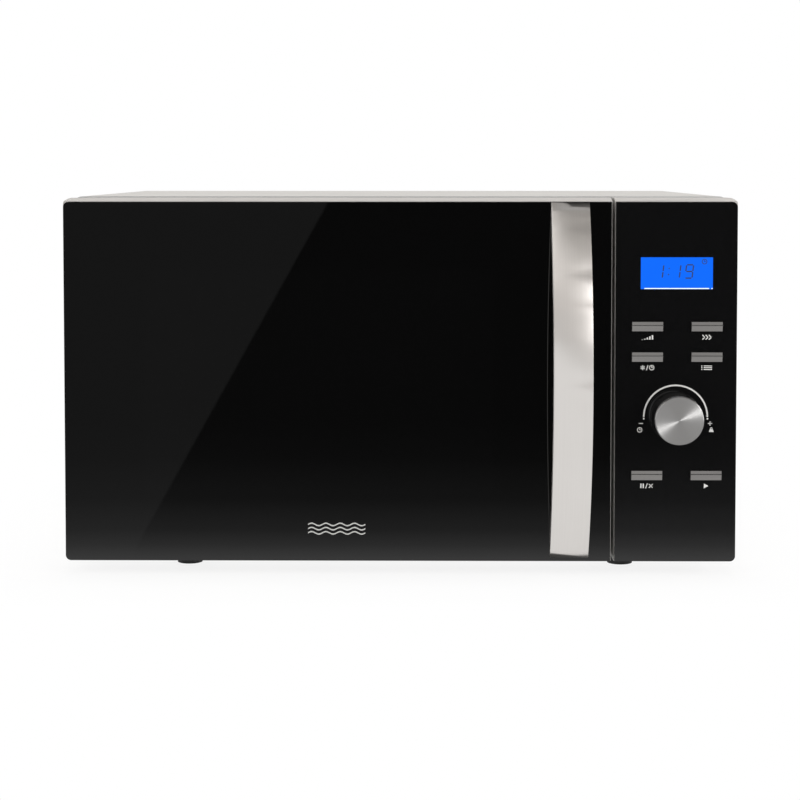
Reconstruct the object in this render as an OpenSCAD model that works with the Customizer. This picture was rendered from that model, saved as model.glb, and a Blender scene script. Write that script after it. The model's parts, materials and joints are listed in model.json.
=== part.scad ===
// Countertop microwave oven with a side-hinged glass door and a control panel on the right.
// Millimetres. The origin is at the middle of the footprint, on the surface the feet stand on.
// The front faces -Y and +Z is up; left and right are as seen from the front.

/* [Cabinet] */
// Width across the door and the control panel
front_w = 539; // [530:1:550]
// Depth from the handle to the rear spacers
total_d = 450; // [444:1:460]
// Height from the surface to the top of the cabinet
total_h = 303; // [299:1:309]
// Height of the lower edge of the door above the surface; the feet show below it
front_z0 = 10.5; // [10.5:0.5:12]
// Thickness of the cabinet's steel sheet
sheet = 1; // [0.8:0.1:1.2]
// Radius of the cabinet's upper long edges
cover_r = 8; // [5:1:12]
// Length of the spacers behind the cabinet
spacer_len = 10; // [6:1:14]

/* [Door] */
// Width of the control panel beside the door
panel_w = 97.6; // [97:0.1:99]
// Gap between the door and the control panel
door_gap = 2.3; // [1.5:0.1:3]
// Thickness of the door with its glass
door_t = 32; // [31:0.5:33]
// Thickness of the front glass and of the panel's fascia
glass_t = 3.2; // [3:0.1:4]
// Gap between the closed door and the cabinet's front plate
door_play = 1.8; // [1.7:0.1:2.4]
// Radius of the outer corners of the front
corner_r = 4.8; // [3:0.1:6]
// Height lost by the front edge's upper slope
slope_h = 2.6; // [2:0.1:5]
// Depth of that slope behind the glass
slope_d = 12; // [6:1:16]

/* [Handle] */
// Width of the bowed handle
handle_w = 30.6; // [26:0.1:34]
// How far its middle stands in front of the glass
handle_bow = 40; // [36:1:44]
// Thickness of the handle strap
handle_t = 9; // [7:0.5:10]
// Distance from the door's right edge to the handle's right edge
handle_inset = 18.5; // [17:0.1:22]

/* [Cooking space] */
// Inner width
cavity_w = 354; // [350:1:356]
// Inner depth
cavity_d = 345; // [342:1:348]
// Inner height
cavity_h = 232; // [226:1:236]
// Radius of the glass turntable
plate_r = 157.5; // [150:0.5:160]
// Radius of the circle that the rollers run on
roller_track_r = 102; // [96:1:106]
// Distance from the cavity floor to the underside of the turntable
roller_space = 17; // [16:0.5:18]

/* [Controls] */
// Width of a push button
button_w = 24.6; // [24:0.1:26]
// Height of a push button
button_h = 7.5; // [7:0.1:8]
// How far a push button stands out
button_out = 2.2; // [1.8:0.1:2.6]
// How far a push button's lower edge stands back from its middle
button_slope = 0.9; // [0:0.1:1]
// How far a push button can be pressed
button_travel = 1.2; // [0.8:0.1:1.3]
// Radius of the knob's front face
knob_r = 19.3; // [17:0.1:21]
// Length of the knob with its metal cap
knob_len = 23; // [18:0.5:26]
// Thickness of the knob's metal cap
knob_cap_t = 3.5; // [2:0.5:5]
// Width of the display
display_w = 57.4; // [50:0.1:62]
// Height of the display
display_h = 25.4; // [22:0.1:30]

/* [Hidden] */
$fn = 64;
half_w = front_w / 2;

// Door and panel, left to right and front to back
door_x0 = -half_w;
door_x1 = half_w - panel_w - door_gap;
panel_x0 = half_w - panel_w;
panel_x1 = half_w;
glass_y0 = -total_d / 2 + handle_bow;
frame_y0 = glass_y0 + glass_t;
door_y1 = glass_y0 + door_t;
plate_y0 = door_y1 + door_play;
plate_y1 = plate_y0 + sheet;
glass_z0 = front_z0 + 0.2;
door_top = total_h - 0.8;
glass_z1 = door_top - slope_h - 0.4;
glass_margin = 0.5;
door_margin = 0.8;
panel_margin = 0.3;

// Cabinet
cover_x = half_w - 2;
cover_top = total_h;
cover_y1 = total_d / 2 - spacer_len;
base_z = 10;
shell_x = cover_x - sheet;
shell_top = cover_top - sheet;
rear_y0 = cover_y1 - 2;
rear_y1 = rear_y0 + sheet;

// Cooking space
cavity_x0 = -half_w + 29.5;
cavity_x1 = cavity_x0 + cavity_w;
cavity_y1 = plate_y1 + cavity_d;
cavity_z0 = 30;
cavity_z1 = cavity_z0 + cavity_h;
cavity_corner_r = 10;
table_x = cavity_x0 + cavity_w / 2;
table_y = plate_y1 + cavity_d / 2;
bay_x0 = cavity_x1 + sheet;

// Turntable, rollers and their fits
running_fit = 0.06;
plate_z0 = cavity_z0 + roller_space;
plate_t = 5;
plate_rim_h = 12;
coupler_r = 3.5;
coupler_hole_r = 6;
coupler_z0 = cavity_z0 - 11;
roller_z = cavity_z0 + roller_space / 2;
roller_r = roller_space / 2 - 0.3;
roller_t = 8;
roller_pin_r = 2;
ring_r0 = roller_track_r - 18;
ring_r1 = roller_track_r - 10;
ring_t = 6;
motor_r = 24.5;
motor_z0 = base_z + 2.5;

// Hinge: the door's rear left edge is rounded about the hinge line
hinge_edge = 8.5;
hinge_x = door_x0 + hinge_edge;
hinge_y = door_y1 - hinge_edge;
hinge_pin_r = 3;
hinge_pin_len = 12;
hinge_fit = 0.05;
hinge_leaf_t = 2;
hinge_low_z = base_z + 2;
hinge_high_z = total_h - 14;
notch_gap = 2;
notch_right = 8;
notch_front = 7.5;

// Window of the door
window_x0 = door_x0 + 19.5;
window_x1 = door_x1 - 49.6;
window_z0 = 28;
window_z1 = total_h - 25;
door_panel_y = door_y1 - 10;
choke_y = door_y1 - 4.9;
choke_in = 22;

// Handle: the strap is a ring's arc that reaches the glass near the door's lower and upper ends
handle_x1 = door_x1 - handle_inset;
handle_x0 = handle_x1 - handle_w;
handle_cx = (handle_x0 + handle_x1) / 2;
handle_cz = total_h / 2 + 4.7;
handle_half = 142.6;
handle_r = (handle_half * handle_half + handle_bow * handle_bow) / (2 * handle_bow);
handle_y = glass_y0 - handle_bow + handle_r;
handle_screw_z = [for (s = [-1, 1]) handle_cz + s * 130.2];
handle_screw_r = 2;
handle_bite = 5;

// Latch
latch_x = door_x1 - 19.6;
latch_half = 2.5;
latch_travel = 5;
latch_bar_z0 = 70;
latch_bar_z1 = 240;
latch_hook_z = [76, 226];
latch_hook_h = 8;
latch_slot = 5.5;
latch_y0 = glass_y0 + 11;
latch_y1 = door_y1 - 9;
spring_z1 = latch_bar_z1 + 16;
spring_r = 3;
spring_wire_r = 0.5;
spring_turns = 6;

// Controls
panel_cx = (panel_x0 + panel_x1) / 2 - 0.2;
button_x = [panel_cx - 22.9, panel_cx + 24.5];
button_z = [total_h - 103.2, total_h - 127.6, 80.3];
button_gap = 0.3;
button_flange_y = frame_y0 + 2.3;
button_flange_t = 1.2;
knob_z = 127.2;
knob_gap = 1;
shaft_r = 3;
bushing_r = 4.5;
display_x = panel_cx + 0.3;
display_z = total_h - 60.65;
board_y0 = glass_y0 + 19;
board_t = 1.6;
switch_y = board_y0 - 4;

// Service bay beside the cooking space
fan_x = bay_x0 + 81;
fan_z = 190;
fan_y = cover_y1 - 27;
fan_r = 46;
fan_shaft_r = 2.5;
magnetron_y = 35;
magnetron_z = 200;
guide_w = 42;
feed_z0 = 120;
foot_x = [-174.5, 181.5];
foot_r = 10.9;
foot_y = [glass_y0 + 48, cover_y1 - 40];
gland_x = 205;
gland_z = 60;
gland_bore_r = 3.75;

// Colours
black = [0.03, 0.03, 0.03];
dark = [0.1, 0.1, 0.11];
silver = [0.78, 0.77, 0.75];
steel = [0.72, 0.72, 0.7];
enamel = [0.75, 0.76, 0.76];
copper = [0.72, 0.42, 0.2];
board_green = [0.08, 0.3, 0.16];

// ---- Helpers ----

// Block between two values on each axis
module block(x, y, z) {
    translate([x[0], y[0], z[0]]) cube([x[1] - x[0], y[1] - y[0], z[1] - z[0]]);
}

// Extrudes an outline drawn in X and Z from y0 to y1
module along_y(y0, y1) {
    translate([0, y1, 0]) rotate([90, 0, 0]) linear_extrude(y1 - y0) children();
}

// Extrudes an outline drawn in Y and Z from x0 to x1
module along_x(x0, x1) {
    translate([x0, 0, 0]) rotate([90, 0, 90]) linear_extrude(x1 - x0) children();
}

module rod_x(x0, x1, y, z, r) {
    translate([x0, y, z]) rotate([0, 90, 0]) cylinder(r = r, h = x1 - x0);
}

module rod_y(x, y0, y1, z, r) {
    translate([x, y1, z]) rotate([90, 0, 0]) cylinder(r = r, h = y1 - y0);
}

module rod_z(x, y, z0, z1, r) {
    translate([x, y, z0]) cylinder(r = r, h = z1 - z0);
}

// Rectangle with only the upper corners rounded
module arch(x, z, r) {
    translate([x[0], z[0]]) square([x[1] - x[0], z[1] - z[0] - r]);
    translate([x[0] + r, z[0]]) square([x[1] - x[0] - 2 * r, z[1] - z[0]]);
    for (cx = [x[0] + r, x[1] - r]) translate([cx, z[1] - r]) circle(r);
}

// Rectangle whose two outer corners are rounded: side is -1 for the left ones and 1 for the right ones
module outer_corners(x, z, r, side) {
    straight = side < 0 ? [x[0] + r, x[1]] : [x[0], x[1] - r];
    round_x = side < 0 ? x[0] + r : x[1] - r;
    translate([straight[0], z[0]]) square([straight[1] - straight[0], z[1] - z[0]]);
    translate([x[0], z[0] + r]) square([x[1] - x[0], z[1] - z[0] - 2 * r]);
    for (cz = [z[0] + r, z[1] - r]) translate([round_x, cz]) circle(r);
}

// Row of equal slots along Y in a wall that stands across X
module slots_in_x(x, y0, pitch, count, slot_w, z) {
    for (k = [0 : count - 1]) block(x, [y0 + k * pitch, y0 + k * pitch + slot_w], z);
}

// ---- Cabinet ----

module base_plate() {
    color(steel) {
        difference() {
            block([-shell_x, shell_x], [plate_y1, rear_y0], [base_z, base_z + sheet]);
            for (row = [0 : 2])
                slots_in_x([150 + row * 34, 176 + row * 34], -90, 12, 12, 4, [base_z - 1, base_z + 2]);
            slots_in_x([-240, -200], 40, 12, 8, 4, [base_z - 1, base_z + 2]);
        }
        for (s = [-1, 1])
            block([min(s * shell_x, s * (shell_x - sheet)), max(s * shell_x, s * (shell_x - sheet))],
                [plate_y1, rear_y0], [base_z + sheet, base_z + 14]);
    }
}

module outer_cover() {
    color(silver) difference() {
        along_y(plate_y1, cover_y1) difference() {
            arch([-cover_x, cover_x], [base_z, cover_top], cover_r);
            arch([-shell_x, shell_x], [base_z - 1, shell_top], cover_r - sheet);
        }
        for (row = [0 : 1]) {
            slots_in_x([cover_x - 3, cover_x + 1], -60, 11, 14, 4, [60 + row * 34, 86 + row * 34]);
            slots_in_x([-cover_x - 1, 3 - cover_x], 60, 11, 10, 4, [190 + row * 34, 216 + row * 34]);
        }
    }
}

module rear_panel() {
    color(steel) difference() {
        along_y(rear_y0, rear_y1) difference() {
            arch([-shell_x, shell_x], [base_z, shell_top], cover_r - sheet);
            translate([gland_x, gland_z]) circle(7);
        }
        for (row = [0 : 7], col = [0 : 3])
            block([fan_x - 40 + col * 21, fan_x - 24 + col * 21], [rear_y0 - 1, rear_y1 + 1],
                [fan_z - 38 + row * 10, fan_z - 34 + row * 10]);
        for (row = [0 : 3], col = [0 : 5])
            block([-230 + col * 26, -210 + col * 26], [rear_y0 - 1, rear_y1 + 1],
                [225 + row * 10, 229 + row * 10]);
    }
}

module front_plate() {
    color(steel) along_y(plate_y0, plate_y1) difference() {
        arch([-cover_x, cover_x], [base_z, cover_top], cover_r);
        translate([cavity_x0, cavity_z0]) square([cavity_w, cavity_h]);
        for (z = latch_hook_z)
            translate([latch_x - latch_slot, z - 7]) square([2 * latch_slot, latch_hook_h + 15]);
        translate([panel_x0 + 16, 70]) square([66, 180]);
    }
}

// Five-sided steel box, open at the front, with a feed window, vents and a hole for the turntable's drive
module cavity_liner() {
    color(enamel) difference() {
        block([cavity_x0 - sheet, cavity_x1 + sheet], [plate_y1, cavity_y1 + sheet],
            [cavity_z0 - sheet, cavity_z1 + sheet]);
        block([cavity_x0, cavity_x1], [plate_y1 - 1, cavity_y1], [cavity_z0, cavity_z1]);
        rod_z(table_x, table_y, cavity_z0 - 2, cavity_z0 + 1, coupler_hole_r);
        block([cavity_x1 - 1, cavity_x1 + 2], [magnetron_y - 35, magnetron_y + 35],
            [feed_z0 + 5, feed_z0 + 45]);
        slots_in_x([cavity_x1 - 1, cavity_x1 + 2], -66, 8, 6, 3, [180, 220]);
        slots_in_x([cavity_x0 - 2, cavity_x0 + 1], 100, 8, 8, 3, [220, 245]);
    }
}

module feet() {
    color(black) for (x = foot_x, y = foot_y) translate([x, y, 0]) {
        cylinder(r = foot_r - 0.6, h = 1.6);
        translate([0, 0, 1.6]) cylinder(r = foot_r, h = base_z - 1.6);
    }
}

module rear_spacers() {
    color(dark) for (x = [-180, 90], z = [70, 210]) rod_y(x, rear_y1, total_d / 2, z, 8);
}

module case_screws() {
    color(steel) {
        for (x = [-240, -80, 80, 240], z = [base_z + 12, shell_top - 12])
            rod_y(x, rear_y1, rear_y1 + 2, z, 4);
        for (s = [-1, 1], y = [-100, 60, 180])
            rod_x(s < 0 ? -cover_x - 1.6 : cover_x, s < 0 ? -cover_x : cover_x + 1.6, y, base_z + 8, 4);
    }
}

module cord_gland() {
    color(black) difference() {
        union() {
            rod_y(gland_x, rear_y0 - 7, rear_y1, gland_z, 6.8);
            rod_y(gland_x, rear_y1, rear_y1 + 3, gland_z, 11);
            rod_y(gland_x, rear_y1 + 3, rear_y1 + 9, gland_z, 7);
        }
        rod_y(gland_x, rear_y0 - 8, rear_y1 + 10, gland_z, gland_bore_r);
    }
}

// Hinge leaf with its pin: the pin points up for way = 1 and down for way = -1
module hinge_leaf(z, way) {
    leaf = way > 0 ? [z, z + hinge_leaf_t] : [z - hinge_leaf_t, z];
    pin = way > 0 ? [leaf[1], leaf[1] + hinge_pin_len] : [leaf[0] - hinge_pin_len, leaf[0]];
    flange = way > 0 ? [z, z + 28] : [z - 28, z];
    color(steel) {
        rod_z(hinge_x, hinge_y, leaf[0], leaf[1], 6);
        block([hinge_x - 4.5, hinge_x + 6], [hinge_y, plate_y0], leaf);
        block([hinge_x, hinge_x + 14], [plate_y0 - sheet, plate_y0], flange);
        rod_z(hinge_x, hinge_y, pin[0], pin[1], hinge_pin_r);
    }
}

module hinge_lower() {
    hinge_leaf(hinge_low_z, 1);
}

module hinge_upper() {
    hinge_leaf(hinge_high_z, -1);
}

// ---- Service bay ----

// Rectangular duct that carries the microwaves from the magnetron down to the feed window
module waveguide() {
    x = [bay_x0, bay_x0 + guide_w];
    y = [magnetron_y - 42, magnetron_y + 42];
    z = [feed_z0, magnetron_z + 32];
    color(steel) difference() {
        block(x, y, z);
        block([x[0] - 1, x[1] - sheet], [y[0] + sheet, y[1] - sheet], [z[0] + sheet, z[1] - sheet]);
        rod_x(x[1] - 3, x[1] + 1, magnetron_y, magnetron_z, 11);
    }
}

module mica_cover() {
    color([0.7, 0.66, 0.55])
        block([cavity_x1 - 0.8, cavity_x1], [magnetron_y - 48, magnetron_y + 48],
            [feed_z0 - 6, feed_z0 + 54]);
}

module magnetron_body() {
    x0 = bay_x0 + guide_w;
    color(steel) {
        block([x0, x0 + 2], [magnetron_y - 40, magnetron_y + 40], [magnetron_z - 30, magnetron_z + 30]);
        rod_x(x0 + 2, x0 + 62, magnetron_y, magnetron_z, 18);
        block([x0 + 62, x0 + 88], [magnetron_y - 30, magnetron_y + 30], [magnetron_z - 26, magnetron_z + 26]);
    }
}

module magnetron_fins() {
    x0 = bay_x0 + guide_w + 8;
    color(silver) for (k = [0 : 7]) difference() {
        block([x0 + k * 6, x0 + k * 6 + 1], [magnetron_y - 36, magnetron_y + 36],
            [magnetron_z - 26, magnetron_z + 26]);
        rod_x(x0 + k * 6 - 1, x0 + k * 6 + 2, magnetron_y, magnetron_z, 18.05);
    }
}

module magnetron_antenna() {
    x1 = bay_x0 + guide_w;
    color(copper) {
        rod_x(x1 - 10, x1, magnetron_y, magnetron_z, 9.5);
        rod_x(x1 - 24, x1 - 10, magnetron_y, magnetron_z, 7.5);
    }
}

// Laminated core with two winding windows
module transformer_core() {
    color([0.3, 0.3, 0.31]) along_y(62, 112) difference() {
        translate([152, base_z + sheet]) square([100, 84]);
        for (x = [172, 212]) translate([x, base_z + 18]) square([20, 50]);
    }
}

module transformer_coils() {
    color(copper) for (y = [[40, 62], [112, 134]]) difference() {
        block([170, 234], y, [base_z + 16, base_z + 70]);
        block([193, 211], [y[0] - 1, y[1] + 1], [base_z + 34, base_z + 52]);
    }
}

module hv_capacitor() {
    color(silver) {
        rod_y(154, -60, 20, base_z + 28, 20);
        rod_y(190, -60, 20, base_z + 28, 20);
        block([154, 190], [-60, 20], [base_z + 8, base_z + 48]);
        block([150, 194], [-50, -44], [base_z + sheet, base_z + 9]);
        block([150, 194], [4, 10], [base_z + sheet, base_z + 9]);
        for (x = [163, 181]) rod_y(x, -70, -60, base_z + 28, 3);
    }
}

module fan_shroud() {
    color(dark) {
        difference() {
            block([fan_x - 56, fan_x + 56], [fan_y + 12, fan_y + 14], [fan_z - 56, fan_z + 56]);
            rod_y(fan_x, fan_y + 11, fan_y + 15, fan_z, fan_r + 3);
        }
        difference() {
            rod_y(fan_x, fan_y - 12, fan_y + 12, fan_z, fan_r + 6);
            rod_y(fan_x, fan_y - 13, fan_y + 13, fan_z, fan_r + 3);
        }
        for (x = [-48, 48], z = [-48, 48]) rod_y(fan_x + x, fan_y + 14, rear_y0, fan_z + z, 4);
        for (a = [0, 90, 180, 270]) translate([fan_x, 0, fan_z]) rotate([0, a, 0])
            block([19, fan_r + 4], [fan_y - 16, fan_y - 12], [-3, 3]);
    }
}

module fan_motor() {
    y = [fan_y - 44, fan_y - 16];
    color([0.35, 0.35, 0.37]) difference() {
        union() {
            rod_y(fan_x, y[0], y[1], fan_z, 20);
            block([fan_x - 26, fan_x + 26], [y[0] + 6, y[1] - 8], [fan_z - 34, fan_z + 22]);
        }
        rod_y(fan_x, y[0] + 6, y[1] + 1, fan_z, fan_shaft_r + running_fit);
    }
}

module fan_blades() {
    color([0.85, 0.85, 0.82]) {
        rod_y(fan_x, fan_y - 8, fan_y + 8, fan_z, 11);
        rod_y(fan_x, fan_y - 36, fan_y - 8, fan_z, fan_shaft_r);
        intersection() {
            rod_y(fan_x, fan_y - 8, fan_y + 8, fan_z, fan_r);
            for (k = [0 : 6]) translate([fan_x, fan_y, fan_z]) rotate([0, k * 360 / 7, 0])
                rotate([32, 0, 0]) block([9, fan_r + 4], [-13, 13], [-0.8, 0.8]);
        }
    }
}

// Duct that leads the magnetron's cooling air to the vents in the cavity wall
module air_duct() {
    x = [bay_x0, bay_x0 + 120];
    y = [magnetron_y - 110, magnetron_y - 46];
    z = [magnetron_z - 30, magnetron_z + 32];
    wall = 1.5;
    color([0.2, 0.2, 0.22]) difference() {
        block(x, y, z);
        block([x[0] + wall, x[1] - wall], [y[0] + wall, y[1] - wall], [z[0] + wall, z[1] - wall]);
        block([x[0] - 1, x[0] + 2], [y[0] + 4, y[1] - 4], [z[0] + 4, z[1] - 4]);
        block([bay_x0 + guide_w + 4, x[1] - 12], [y[1] - 2, y[1] + 1], [z[0] + 4, z[1] - 4]);
    }
}

module turntable_motor() {
    color(steel) difference() {
        union() {
            rod_z(table_x, table_y, motor_z0, cavity_z0 - sheet, motor_r);
            block([table_x - 32, table_x + 32], [table_y - 5, table_y + 5],
                [cavity_z0 - sheet - 1.5, cavity_z0 - sheet]);
        }
        rod_z(table_x, table_y, coupler_z0 - 1, cavity_z0, coupler_r + running_fit);
    }
}

module oven_lamp() {
    color([0.9, 0.88, 0.8]) {
        block([bay_x0, bay_x0 + 3], [100, 130], [215, 245]);
        rod_x(bay_x0 + 3, bay_x0 + 12, 115, 230, 8);
        rod_x(bay_x0 + 12, bay_x0 + 34, 115, 230, 11);
    }
}

module thermal_cutouts() {
    color([0.85, 0.8, 0.7]) {
        rod_x(bay_x0, bay_x0 + 9, 150, 180, 8);
        rod_z(table_x + 60, table_y + 60, cavity_z1 + sheet, cavity_z1 + sheet + 9, 8);
        block([bay_x0 + 9, bay_x0 + 14], [147, 153], [178, 182]);
    }
}

// Mains filter on a steel tray fixed to the cavity wall
module filter_board() {
    tray_z = cavity_z1 - 8;
    color(board_green) {
        block([bay_x0, bay_x0 + 130], [90, 180], [tray_z, tray_z + sheet]);
        for (x = [10, 110], y = [98, 172]) rod_z(bay_x0 + x, y, tray_z + sheet, tray_z + 5, 3);
        block([bay_x0 + 4, bay_x0 + 116], [92, 178], [tray_z + 5, tray_z + 6.6]);
        rod_z(bay_x0 + 32, 135, tray_z + 6.6, tray_z + 24, 13);
        block([bay_x0 + 60, bay_x0 + 92], [120, 150], [tray_z + 6.6, tray_z + 22]);
        rod_y(bay_x0 + 104, 110, 140, tray_z + 12, 3.5);
        block([bay_x0 + 101, bay_x0 + 107], [112, 138], [tray_z + 6.6, tray_z + 10]);
    }
}

module interlock_bracket() {
    color(dark) {
        block([latch_x + 8, latch_x + 10], [plate_y1, plate_y1 + 36], [58, 256]);
        block([latch_x + 8, latch_x + 18], [plate_y1, plate_y1 + 2], [58, 256]);
        for (z = [60, 252]) block([bay_x0, latch_x + 8], [plate_y1 + 26, plate_y1 + 28], [z, z + 4]);
    }
}

module interlock_switches() {
    color([0.75, 0.15, 0.12]) for (z = latch_hook_z) {
        block([latch_x - 5, latch_x + 8], [plate_y1 + 15, plate_y1 + 33], [z - 6, z + 22]);
        block([latch_x - 2, latch_x + 2], [plate_y1 + 13.5, plate_y1 + 15], [z + 8, z + 12]);
    }
}

// ---- Control panel ----

// Outline of the front seen from the side, with the upper edge sloping back from the glass
module side_profile() {
    polygon([[frame_y0, front_z0], [door_y1, front_z0], [door_y1, door_top],
        [frame_y0 + slope_d, door_top], [frame_y0, door_top - slope_h]]);
}

module control_frame() {
    wall = 2;
    color(silver) difference() {
        intersection() {
            along_y(frame_y0 - 1, plate_y0)
                outer_corners([panel_x0, panel_x1], [front_z0, door_top], corner_r, 1);
            union() {
                along_x(panel_x0 - 1, panel_x1 + 1) side_profile();
                block([panel_x0, panel_x1], [door_y1, plate_y0], [front_z0, door_top]);
            }
        }
        block([panel_x0 + wall, panel_x1 - wall], [frame_y0 + wall, plate_y0 + 1],
            [front_z0 + wall, door_top - slope_h - wall]);
        panel_openings(frame_y0 - 1, frame_y0 + wall + 1);
    }
}

// Holes for the buttons, the display and the knob's bushing
module panel_openings(y0, y1) {
    for (x = button_x, z = button_z)
        block([x - button_w / 2 - button_gap, x + button_w / 2 + button_gap], [y0, y1],
            [z - button_h / 2 - button_gap, z + button_h / 2 + button_gap]);
    block([display_x - display_w / 2, display_x + display_w / 2], [y0, y1],
        [display_z - display_h / 2, display_z + display_h / 2]);
    rod_y(panel_cx, y0, y1, knob_z, bushing_r + 0.5);
}

module control_fascia() {
    color(black) difference() {
        along_y(glass_y0, frame_y0)
            outer_corners([panel_x0 + panel_margin, panel_x1 - glass_margin], [glass_z0, glass_z1],
                corner_r - glass_margin, 1);
        panel_openings(glass_y0 - 1, frame_y0 + 1);
    }
}

module display_window() {
    color([0, 0.4, 0.95])
        block([display_x - display_w / 2, display_x + display_w / 2], [glass_y0 + 0.3, frame_y0],
            [display_z - display_h / 2, display_z + display_h / 2]);
}

module display_module() {
    color(dark) {
        block([display_x - display_w / 2 + 0.5, display_x + display_w / 2 - 0.5], [frame_y0, frame_y0 + 9],
            [display_z - display_h / 2 + 0.5, display_z + display_h / 2 - 0.5]);
        for (s = [-1, 1])
            rod_y(display_x + s * 24, frame_y0 + 9, board_y0, display_z, 2);
    }
}

module control_board() {
    color(board_green) {
        block([panel_x0 + 5, panel_x1 - 5], [board_y0, board_y0 + board_t], [60, display_z + 20]);
        block([panel_cx - 30, panel_cx + 6], [board_y0 + board_t, board_y0 + 12], [94, 120]);
        block([panel_cx + 14, panel_cx + 34], [board_y0 + board_t, board_y0 + 10], [140, 160]);
        for (z = [150, 172]) rod_y(panel_cx - 20, board_y0 + board_t, board_y0 + 11, z, 6);
    }
}

module tact_switches() {
    color(dark) for (x = button_x, z = button_z) {
        block([x - 3, x + 3], [board_y0 - 2.5, board_y0], [z - 3, z + 3]);
        rod_y(x, switch_y, board_y0 - 2.5, z, 1.6);
    }
}

module encoder() {
    color(steel) difference() {
        union() {
            block([panel_cx - 7, panel_cx + 7], [frame_y0 + 3, board_y0], [knob_z - 7, knob_z + 7]);
            rod_y(panel_cx, frame_y0 - 1.5, frame_y0 + 3, knob_z, bushing_r);
        }
        rod_y(panel_cx, frame_y0 - 3, board_y0 - 2, knob_z, shaft_r + running_fit);
    }
}

// Knob body with a skirt, hollow at the back around its shaft
module knob() {
    skirt_r = knob_r + 1;
    body_len = knob_len - knob_cap_t;
    color(black) translate([panel_cx, glass_y0 - knob_gap, knob_z]) rotate([90, 0, 0]) difference() {
        rotate_extrude($fn = 96) polygon([[0, 1], [skirt_r - 1.5, 1], [skirt_r - 1.5, 0], [skirt_r, 0],
            [skirt_r, 1.4], [knob_r + 0.5, 2], [knob_r - 0.3, body_len], [0, body_len]]);
        translate([0, 0, -1]) cylinder(r = shaft_r + 0.03, h = 14);
    }
}

// Turned metal disc with a bevelled rim on the front of the knob
module knob_cap() {
    bevel = 0.7;
    color(silver) translate([panel_cx, glass_y0 - knob_gap, knob_z]) rotate([90, 0, 0])
        rotate_extrude($fn = 96) polygon([[0, knob_len - knob_cap_t], [knob_r, knob_len - knob_cap_t],
            [knob_r, knob_len - bevel], [knob_r - bevel, knob_len], [0, knob_len]]);
}

module knob_shaft() {
    color(steel) rod_y(panel_cx, glass_y0 - knob_gap - 13, board_y0 - 3, knob_z, shaft_r);
}

// Push button: a metal cap grooved across, its lower part turned down, with a flange and a stem behind
module push_button(x, z) {
    half = button_h / 2;
    crease = button_h * 0.12;
    groove = 0.4;
    front = glass_y0 - button_out;
    flange = 1.4;
    color(silver) {
        along_x(x - button_w / 2, x + button_w / 2) polygon([
            [front + button_slope, z - half], [button_flange_y, z - half],
            [button_flange_y, z + half], [front + 0.2, z + half],
            [front + 0.2, z + crease + groove], [front + 0.2 + groove, z + crease + groove],
            [front + 0.2 + groove, z + crease], [front, z + crease]]);
        block([x - button_w / 2 - flange, x + button_w / 2 + flange],
            [button_flange_y, button_flange_y + button_flange_t], [z - half - flange, z + half + flange]);
        rod_y(x, button_flange_y + button_flange_t, switch_y - button_travel - 0.2, z, 2);
    }
}

module button_power() { push_button(button_x[0], button_z[0]); }
module button_express() { push_button(button_x[1], button_z[0]); }
module button_defrost() { push_button(button_x[0], button_z[1]); }
module button_menu() { push_button(button_x[1], button_z[1]); }
module button_cancel() { push_button(button_x[0], button_z[2]); }
module button_start() { push_button(button_x[1], button_z[2]); }

// ---- Door ----

// Room for a hinge leaf at the door's rear left corner, between two heights
module hinge_notch(z) {
    block([door_x0 - 1, hinge_x + notch_right], [hinge_y - notch_front, door_y1 + 1], z);
}

module door_frame() {
    low_notch = hinge_low_z + hinge_leaf_t + notch_gap;
    high_notch = hinge_high_z - hinge_leaf_t - notch_gap;
    color(silver) difference() {
        intersection() {
            along_y(frame_y0 - 1, door_y1)
                outer_corners([door_x0, door_x1], [front_z0, door_top], corner_r, -1);
            along_x(door_x0 - 1, door_x1 + 1) side_profile();
            union() {
                block([hinge_x, door_x1], [frame_y0, door_y1], [0, total_h]);
                block([door_x0, door_x1], [frame_y0, hinge_y], [0, total_h]);
                rod_z(hinge_x, hinge_y, 0, total_h, hinge_edge);
            }
        }
        block([window_x0, window_x1], [frame_y0 - 1, door_y1 + 1], [window_z0, window_z1]);
        hinge_notch([0, low_notch]);
        hinge_notch([high_notch, total_h + 1]);
        rod_z(hinge_x, hinge_y, low_notch - 1, low_notch + hinge_pin_len, hinge_pin_r + hinge_fit);
        rod_z(hinge_x, hinge_y, high_notch - hinge_pin_len, high_notch + 1, hinge_pin_r + hinge_fit);
        block([latch_x - 7, latch_x + 7], [latch_y0 - 2, latch_y1 + 2], [latch_bar_z0 - 6, spring_z1]);
        for (z = latch_hook_z)
            block([latch_x - latch_slot, latch_x + latch_slot], [latch_y1, door_y1 + 1],
                [z - 7, z + latch_hook_h + 8]);
        for (z = handle_screw_z) {
            rod_y(handle_cx, frame_y0 - 1, door_y1, z, handle_screw_r + 0.3);
            rod_y(handle_cx, door_y1 - 8, door_y1 + 1, z, 5);
        }
    }
}

module door_glass() {
    color(black) difference() {
        along_y(glass_y0, frame_y0)
            outer_corners([door_x0 + glass_margin, door_x1 - door_margin], [glass_z0, glass_z1],
                corner_r - glass_margin, -1);
        for (z = handle_screw_z) rod_y(handle_cx, glass_y0 - 1, frame_y0 + 1, z, handle_screw_r + 0.3);
    }
}

// Steel tray that closes the window, with a raised field in its middle
module door_panel() {
    color(steel) {
        block([window_x0, window_x1], [choke_y - 1.2, choke_y], [window_z0, window_z1]);
        difference() {
            block([window_x0, window_x1], [door_panel_y, choke_y - 1.2], [window_z0, window_z1]);
            block([window_x0 + sheet, window_x1 - sheet], [door_panel_y - 1, choke_y],
                [window_z0 + sheet, window_z1 - sheet]);
        }
    }
}

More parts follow.
